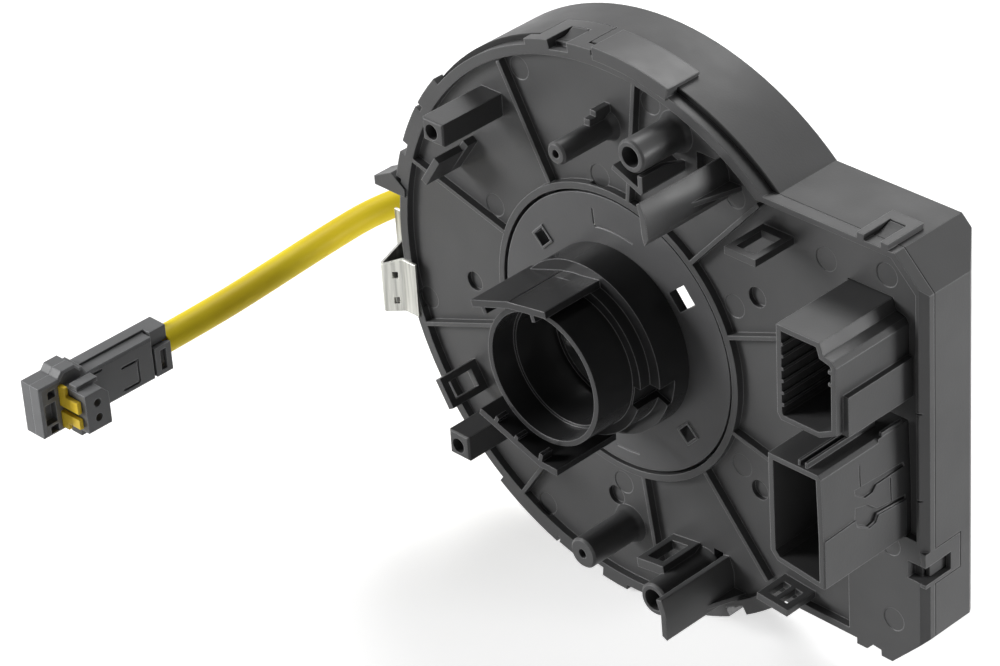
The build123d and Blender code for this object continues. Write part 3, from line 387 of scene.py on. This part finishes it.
def dress_films():
    """The ribbon cable and the films that it slides on."""
    dress(film("ribbon_film", (0.72, 0.67, 0.52), 0.3), "ribbon_cable")
    dress(film("slip_film", (0.05, 0.05, 0.05), 0.4), "front_slip_sheet", "rear_slip_sheet")


# Lead
def lead_sheath():
    """The smooth yellow sheath."""
    return moulded(
        "lead_sheath", (0.95, 0.72, 0.03), 0.42, edge_highlight=1.0, grain=SOFT_GRAIN, waves=SHEATH_WAVES,
        gloss=SHEATH_GLOSS)


def make_lead():
    """The yellow lead, one smooth spline through the route's control points."""
    curve = bpy.data.curves.new("yellow_lead", "CURVE")
    curve.dimensions = "3D"
    spline = curve.splines.new("NURBS")
    spline.points.add(len(LEAD_ROUTE) - 1)
    for point, (x, y, z) in zip(spline.points, LEAD_ROUTE):
        point.co = (x * MM, y * MM, z * MM, 1)
    spline.order_u = 3
    spline.use_endpoint_u = True
    curve.resolution_u = LEAD_STEPS
    curve.bevel_depth = LEAD_DIAMETER / 2
    curve.bevel_resolution = LEAD_ROUND_STEPS
    lead = bpy.data.objects.new("yellow_lead", curve)
    bpy.context.scene.collection.objects.link(lead)
    curve.materials.append(lead_sheath())
    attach(lead, "rotor")
    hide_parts("squib_lead")


# Studio
def make_lamp(name, place, width, height, power):
    """A soft rectangular lamp that faces the object."""
    data = bpy.data.lights.new(name, "AREA")
    data.shape = "RECTANGLE"
    data.size = width
    data.size_y = height
    data.energy = power
    lamp = bpy.data.objects.new(name, data)
    bpy.context.scene.collection.objects.link(lamp)
    lamp.location = place
    lamp.rotation_euler = (Vector(LAMP_TARGET) - Vector(place)).to_track_quat("-Z", "Y").to_euler()


def seen_directly(tree):
    """A factor of one for rays from the camera and those that mirror or pass through."""
    path = tree.nodes.new("ShaderNodeLightPath")
    first = tree.nodes.new("ShaderNodeMath")
    first.operation = "MAXIMUM"
    second = tree.nodes.new("ShaderNodeMath")
    second.operation = "MAXIMUM"
    tree.links.new(path.outputs["Is Camera Ray"], first.inputs[0])
    tree.links.new(path.outputs["Is Glossy Ray"], first.inputs[1])
    tree.links.new(first.outputs[0], second.inputs[0])
    tree.links.new(path.outputs["Is Transmission Ray"], second.inputs[1])
    return second.outputs[0]


def make_world():
    """A plain world: even light on the object, white where it is seen."""
    world = bpy.data.worlds.new("studio")
    bpy.context.scene.world = world
    world.use_nodes = True
    tree = world.node_tree
    background = tree.nodes["Background"]
    background.inputs["Color"].default_value = WHITE
    background.inputs["Strength"].default_value = WORLD_LEVEL
    white = tree.nodes.new("ShaderNodeBackground")
    white.inputs["Color"].default_value = WHITE
    white.inputs["Strength"].default_value = 1.0
    choose = tree.nodes.new("ShaderNodeMixShader")
    tree.links.new(seen_directly(tree), choose.inputs[0])
    tree.links.new(background.outputs[0], choose.inputs[1])
    tree.links.new(white.outputs[0], choose.inputs[2])
    tree.links.new(choose.outputs[0], tree.nodes["World Output"].inputs["Surface"])


def glow_level(tree):
    """How much the floor glows: little at the object, and more where the lamps no longer reach."""
    coords = tree.nodes.new("ShaderNodeTexCoord")
    away = tree.nodes.new("ShaderNodeVectorMath")
    away.operation = "LENGTH"
    level = tree.nodes.new("ShaderNodeMapRange")
    ranges = (("From Min", GLOW_NEAR), ("From Max", GLOW_FAR), ("To Min", FLOOR_GLOW), ("To Max", 1.0))
    for key, number in ranges:
        level.inputs[key].default_value = number
    tree.links.new(coords.outputs["Object"], away.inputs[0])
    tree.links.new(away.outputs["Value"], level.inputs["Value"])
    return level.outputs["Result"]


def floor_material():
    """A pale floor that looks white and takes a soft shadow."""
    material = bpy.data.materials.new("floor_white")
    material.use_nodes = True
    tree = material.node_tree
    tree.nodes.remove(tree.nodes["Principled BSDF"])
    diffuse = tree.nodes.new("ShaderNodeBsdfDiffuse")
    diffuse.inputs["Color"].default_value = (FLOOR_TONE, FLOOR_TONE, FLOOR_TONE, 1)
    glow = tree.nodes.new("ShaderNodeEmission")
    tree.links.new(glow_level(tree), glow.inputs["Strength"])
    dark = tree.nodes.new("ShaderNodeEmission")
    dark.inputs["Strength"].default_value = 0.0
    choose = tree.nodes.new("ShaderNodeMixShader")
    both = tree.nodes.new("ShaderNodeAddShader")
    tree.links.new(seen_directly(tree), choose.inputs[0])
    tree.links.new(dark.outputs[0], choose.inputs[1])
    tree.links.new(glow.outputs[0], choose.inputs[2])
    tree.links.new(diffuse.outputs[0], both.inputs[0])
    tree.links.new(choose.outputs[0], both.inputs[1])
    tree.links.new(both.outputs[0], tree.nodes["Material Output"].inputs["Surface"])
    return material


def make_floor(height):
    """The floor, just under the object."""
    data = bpy.data.meshes.new("floor")
    corners = [(x * FLOOR_REACH, y * FLOOR_REACH, height) for x, y in ((-1, -1), (1, -1), (1, 1), (-1, 1))]
    data.from_pydata(corners, [], [(0, 1, 2, 3)])
    data.materials.append(floor_material())
    floor = bpy.data.objects.new("floor", data)
    bpy.context.scene.collection.objects.link(floor)


def make_studio():
    """The lamps, the world and the floor."""
    for name, place, width, height, power in LAMPS:
        make_lamp(name, place, width, height, power)
    make_world()
    low, _ = cad_box
    make_floor(low[2] - FLOOR_GAP)
    bpy.context.scene.view_settings.view_transform = "Standard"


make_camera()
make_lead()
dress_housing()
dress_rotor()
dress_small_connector()
dress_metals()
dress_films()
make_studio()
